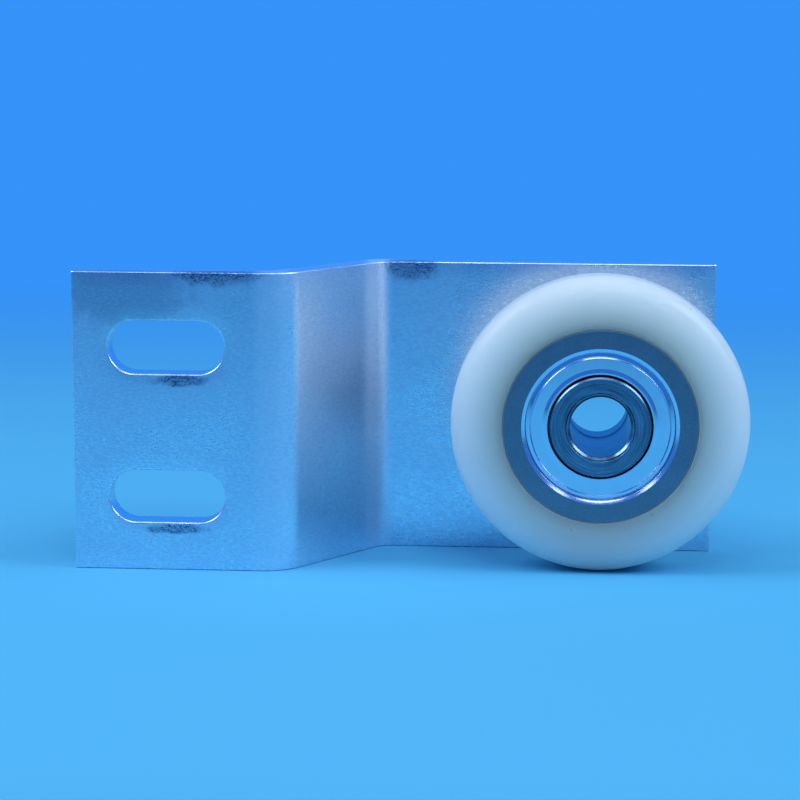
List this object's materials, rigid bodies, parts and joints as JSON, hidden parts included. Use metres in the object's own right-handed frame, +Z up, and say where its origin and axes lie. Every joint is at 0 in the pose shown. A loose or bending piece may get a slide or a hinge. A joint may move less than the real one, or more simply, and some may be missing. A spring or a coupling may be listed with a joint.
{
  "type": "sliding door roller",
  "caption": "Nylon-tyred ball bearing roller riveted to an offset, slotted and zinc-plated steel bracket, for hanging a sliding door.",
  "frame": {"origin": "centre of the roller, on its bore axis and midway between the two faces of the inner ring", "axes": "+Y along the roller's axis, from the mounting flange's side towards the plate behind the roller; +X along the bracket towards the roller's end; +Z up"},
  "size_m": [0.1277, 0.0311, 0.057],
  "materials": {
    "zinc_plate": "satin",
    "turned_steel": "satin",
    "ground_steel": "satin",
    "shield_steel": "gloss",
    "nylon": "satin",
    "cage_steel": "satin",
    "ball_steel": "gloss"
  },
  "bodies": {
    "bracket": {"bracket_plate": "zinc_plate", "axle_sleeve": "turned_steel", "spacer_collar": "turned_steel", "bearing_inner_ring": "turned_steel"},
    "roller": {"nylon_tyre": "nylon", "bearing_outer_ring": "ground_steel", "shield_front": "shield_steel", "shield_back": "shield_steel"},
    "cage": {"cage_front": "cage_steel", "cage_back": "cage_steel", "cage_rivets": "cage_steel"},
    "ball_1": {"ball_1": "ball_steel"},
    "ball_2": {"ball_2": "ball_steel"},
    "ball_3": {"ball_3": "ball_steel"},
    "ball_4": {"ball_4": "ball_steel"},
    "ball_5": {"ball_5": "ball_steel"},
    "ball_6": {"ball_6": "ball_steel"},
    "ball_7": {"ball_7": "ball_steel"},
    "ball_8": {"ball_8": "ball_steel"},
    "ball_9": {"ball_9": "ball_steel"},
    "ball_10": {"ball_10": "ball_steel"}
  },
  "joints": [
    {"name": "roller_spin", "type": "hinge", "parent": "bracket", "child": "roller", "pos_m": [0, 0, 0], "axis": [0, 1, 0], "continuous": true},
    {"name": "cage_spin", "type": "hinge", "parent": "bracket", "child": "cage", "pos_m": [0, 0, 0], "axis": [0, 1, 0], "continuous": true},
    {"name": "ball_1_spin", "type": "hinge", "parent": "cage", "child": "ball_1", "pos_m": [0.00699, 0, 0.00963], "axis": [0, 1, 0], "continuous": true},
    {"name": "ball_2_spin", "type": "hinge", "parent": "cage", "child": "ball_2", "pos_m": [0.01132, 0, 0.00368], "axis": [0, 1, 0], "continuous": true},
    {"name": "ball_3_spin", "type": "hinge", "parent": "cage", "child": "ball_3", "pos_m": [0.01132, 0, -0.00368], "axis": [0, 1, 0], "continuous": true},
    {"name": "ball_4_spin", "type": "hinge", "parent": "cage", "child": "ball_4", "pos_m": [0.00699, 0, -0.00963], "axis": [0, 1, 0], "continuous": true},
    {"name": "ball_5_spin", "type": "hinge", "parent": "cage", "child": "ball_5", "pos_m": [0, 0, -0.0119], "axis": [0, 1, 0], "continuous": true},
    {"name": "ball_6_spin", "type": "hinge", "parent": "cage", "child": "ball_6", "pos_m": [-0.00699, 0, -0.00963], "axis": [0, 1, 0], "continuous": true},
    {"name": "ball_7_spin", "type": "hinge", "parent": "cage", "child": "ball_7", "pos_m": [-0.01132, 0, -0.00368], "axis": [0, 1, 0], "continuous": true},
    {"name": "ball_8_spin", "type": "hinge", "parent": "cage", "child": "ball_8", "pos_m": [-0.01132, 0, 0.00368], "axis": [0, 1, 0], "continuous": true},
    {"name": "ball_9_spin", "type": "hinge", "parent": "cage", "child": "ball_9", "pos_m": [-0.00699, 0, 0.00963], "axis": [0, 1, 0], "continuous": true},
    {"name": "ball_10_spin", "type": "hinge", "parent": "cage", "child": "ball_10", "pos_m": [0, 0, 0.0119], "axis": [0, 1, 0], "continuous": true}
  ],
  "couplings": [
    {"joint": "cage_spin", "follows": "roller_spin", "ratio": 0.60006},
    {"joint": "ball_1_spin", "follows": "roller_spin", "ratio": 2.3984},
    {"joint": "ball_2_spin", "follows": "roller_spin", "ratio": 2.3984},
    {"joint": "ball_3_spin", "follows": "roller_spin", "ratio": 2.3984},
    {"joint": "ball_4_spin", "follows": "roller_spin", "ratio": 2.3984},
    {"joint": "ball_5_spin", "follows": "roller_spin", "ratio": 2.3984},
    {"joint": "ball_6_spin", "follows": "roller_spin", "ratio": 2.3984},
    {"joint": "ball_7_spin", "follows": "roller_spin", "ratio": 2.3984},
    {"joint": "ball_8_spin", "follows": "roller_spin", "ratio": 2.3984},
    {"joint": "ball_9_spin", "follows": "roller_spin", "ratio": 2.3984},
    {"joint": "ball_10_spin", "follows": "roller_spin", "ratio": 2.3984}
  ]
}
